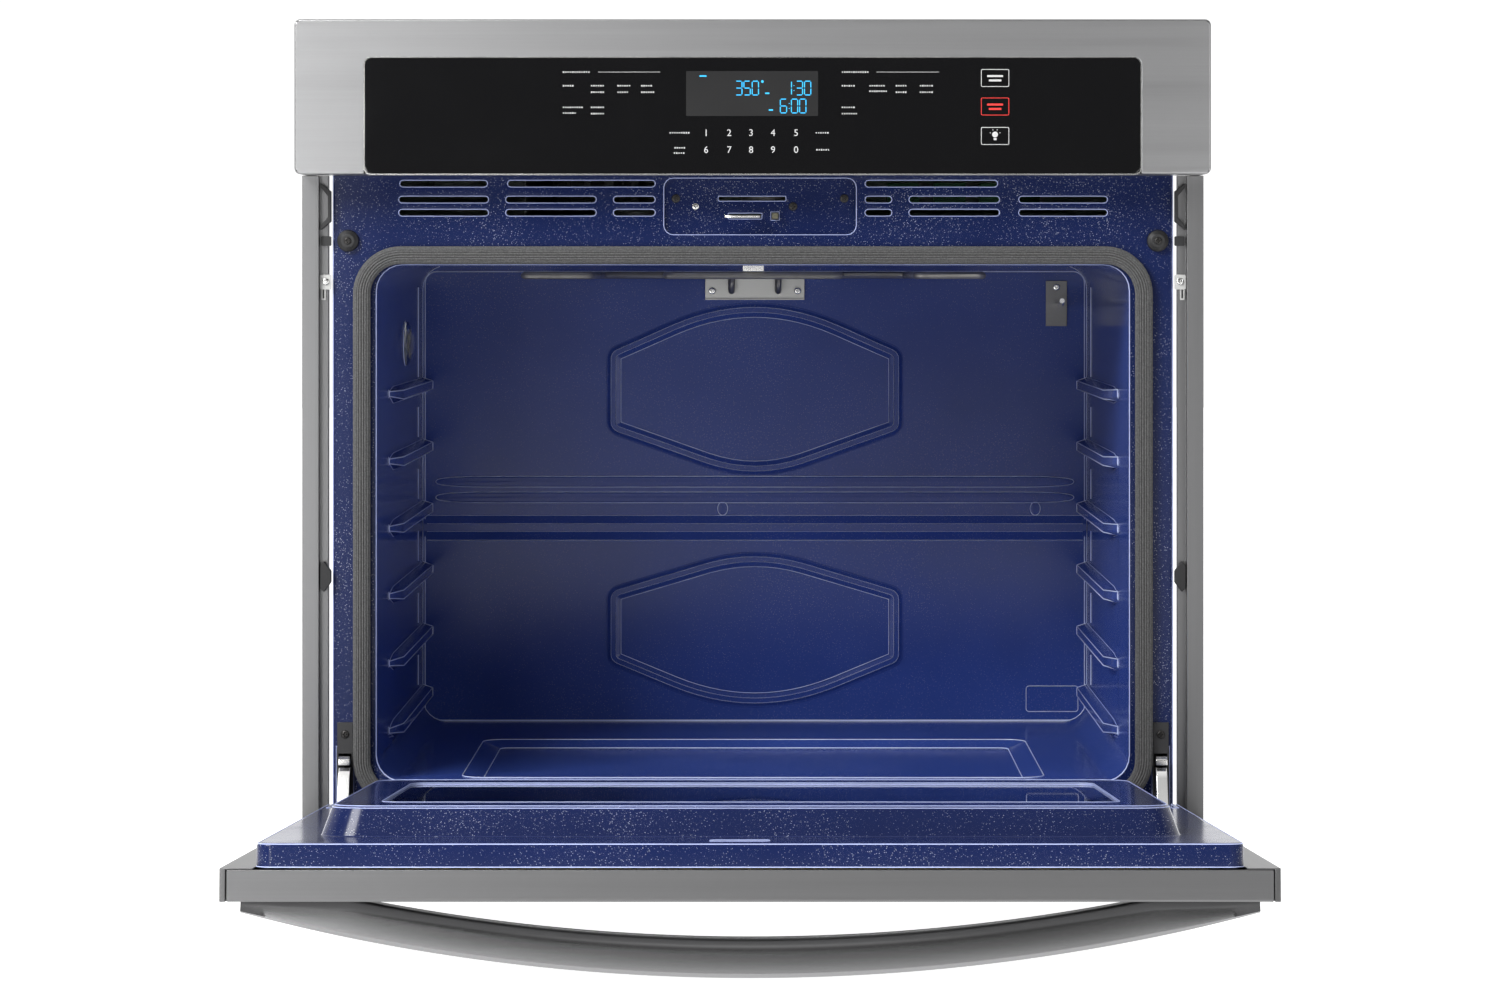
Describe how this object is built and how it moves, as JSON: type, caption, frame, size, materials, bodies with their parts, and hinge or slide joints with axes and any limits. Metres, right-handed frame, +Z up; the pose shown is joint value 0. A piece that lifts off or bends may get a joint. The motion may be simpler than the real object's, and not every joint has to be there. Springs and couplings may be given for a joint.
{
  "type": "built-in wall oven",
  "caption": "Built-in single electric wall oven with a stainless touch-control fascia, blue enamelled cavity and a drop-down door with a bowed bar handle, shown open.",
  "frame": {"origin": "underside of the chassis base, in the middle of the width and in the plane of the cabinet's face", "axes": "+X to the right seen from the front, +Y into the wall, +Z up"},
  "size_m": [0.756, 1.1589, 0.735],
  "materials": {
    "blue_enamel": "glossy fired enamel, cobalt blue with fine pale speckles",
    "brushed_stainless": "stainless sheet, brushed along its length",
    "handle_stainless": "stainless bar, satin",
    "bracket_steel": "bright stainless strip",
    "zinc_sheet": "zinc-coated sheet steel",
    "chromed_steel": "bright chromed",
    "element_sheath": "heat-toned element sheath",
    "dark_steel": "dark coated steel",
    "black_glass": "black glass over the touch keys",
    "door_glass": "clear tempered glass",
    "lamp_glass": "clear lamp cover",
    "lamp_ceramic": "lamp holder, unglazed",
    "display_grey": "dark display module",
    "circuit_board": "coated circuit board",
    "gasket_braid": "woven glass-fibre sleeve",
    "mineral_wool": "mineral wool",
    "black_rubber": "soft black rubber",
    "grey_plastic": "moulded plastic"
  },
  "bodies": {
    "oven": {"front_frame": "blue_enamel", "cavity_wrap": "blue_enamel", "cavity_back_panel": "blue_enamel", "control_fascia": "brushed_stainless", "side_trim_left": "brushed_stainless", "side_trim_right": "brushed_stainless", "bottom_trim": "brushed_stainless", "broil_bracket": "bracket_steel", "sensor_bracket": "bracket_steel", "chassis_base": "zinc_sheet", "case_left": "zinc_sheet", "case_right": "zinc_sheet", "case_top": "zinc_sheet", "case_back": "zinc_sheet", "terminal_box": "zinc_sheet", "flue_duct": "zinc_sheet", "blower_housing": "zinc_sheet", "latch_bracket": "zinc_sheet", "hinge_arm_left": "chromed_steel", "hinge_arm_right": "chromed_steel", "element_hanger": "chromed_steel", "temperature_probe": "chromed_steel", "broil_element": "element_sheath", "bake_element": "element_sheath", "hinge_receiver_left": "dark_steel", "hinge_receiver_right": "dark_steel", "blower_motor": "dark_steel", "control_glass": "black_glass", "lamp_lens": "lamp_glass", "lamp_socket": "lamp_ceramic", "display_module": "display_grey", "control_board": "circuit_board", "power_board": "circuit_board", "door_gasket": "gasket_braid", "cavity_insulation": "mineral_wool", "door_bumper_left": "black_rubber", "door_bumper_right": "black_rubber", "trim_clip_upper_left": "black_rubber", "trim_clip_upper_right": "black_rubber", "trim_plug_lower_left": "black_rubber", "trim_plug_lower_right": "black_rubber", "cable_gland": "grey_plastic", "latch_motor": "grey_plastic", "door_switch_body": "grey_plastic"},
    "door": {"door_skin": "brushed_stainless", "door_rail_left": "brushed_stainless", "door_rail_right": "brushed_stainless", "door_liner": "blue_enamel", "door_insulation": "mineral_wool", "outer_glass": "door_glass", "inner_glass": "door_glass", "glass_frame": "dark_steel", "handle_bar": "handle_stainless", "hinge_channel_left": "dark_steel", "hinge_channel_right": "dark_steel"},
    "latch": {"latch_hook": "chromed_steel"},
    "switch_plunger": {"door_switch_plunger": "grey_plastic"},
    "blower_rotor": {"blower_wheel": "grey_plastic"},
    "hinge_lock_left": {"hinge_lock_left": "chromed_steel"},
    "hinge_lock_right": {"hinge_lock_right": "chromed_steel"}
  },
  "joints": [
    {"name": "door_hinge", "type": "hinge", "parent": "oven", "child": "door", "pos_m": [0, -0.0386, 0.065], "axis": [-1, 0, 0], "range_deg": [0, 86.35]},
    {"name": "latch_travel", "type": "slide", "parent": "oven", "child": "latch", "axis": [-1, 0, 0], "range_m": [0, 0.009]},
    {"name": "switch_travel", "type": "slide", "parent": "oven", "child": "switch_plunger", "axis": [0, 1, 0], "range_m": [0, 0.004], "stiffness_N_per_m": 150, "springref_m": -0.003},
    {"name": "blower_spin", "type": "hinge", "parent": "oven", "child": "blower_rotor", "pos_m": [-0.12, 0.3, 0.604], "axis": [0, 0, 1], "continuous": true},
    {"name": "lock_flip_left", "type": "hinge", "parent": "oven", "child": "hinge_lock_left", "pos_m": [-0.34075, -0.018, 0.1165], "axis": [1, 0, 0], "range_deg": [0, 95]},
    {"name": "lock_flip_right", "type": "hinge", "parent": "oven", "child": "hinge_lock_right", "pos_m": [0.34075, -0.018, 0.1165], "axis": [1, 0, 0], "range_deg": [0, 95]}
  ]
}
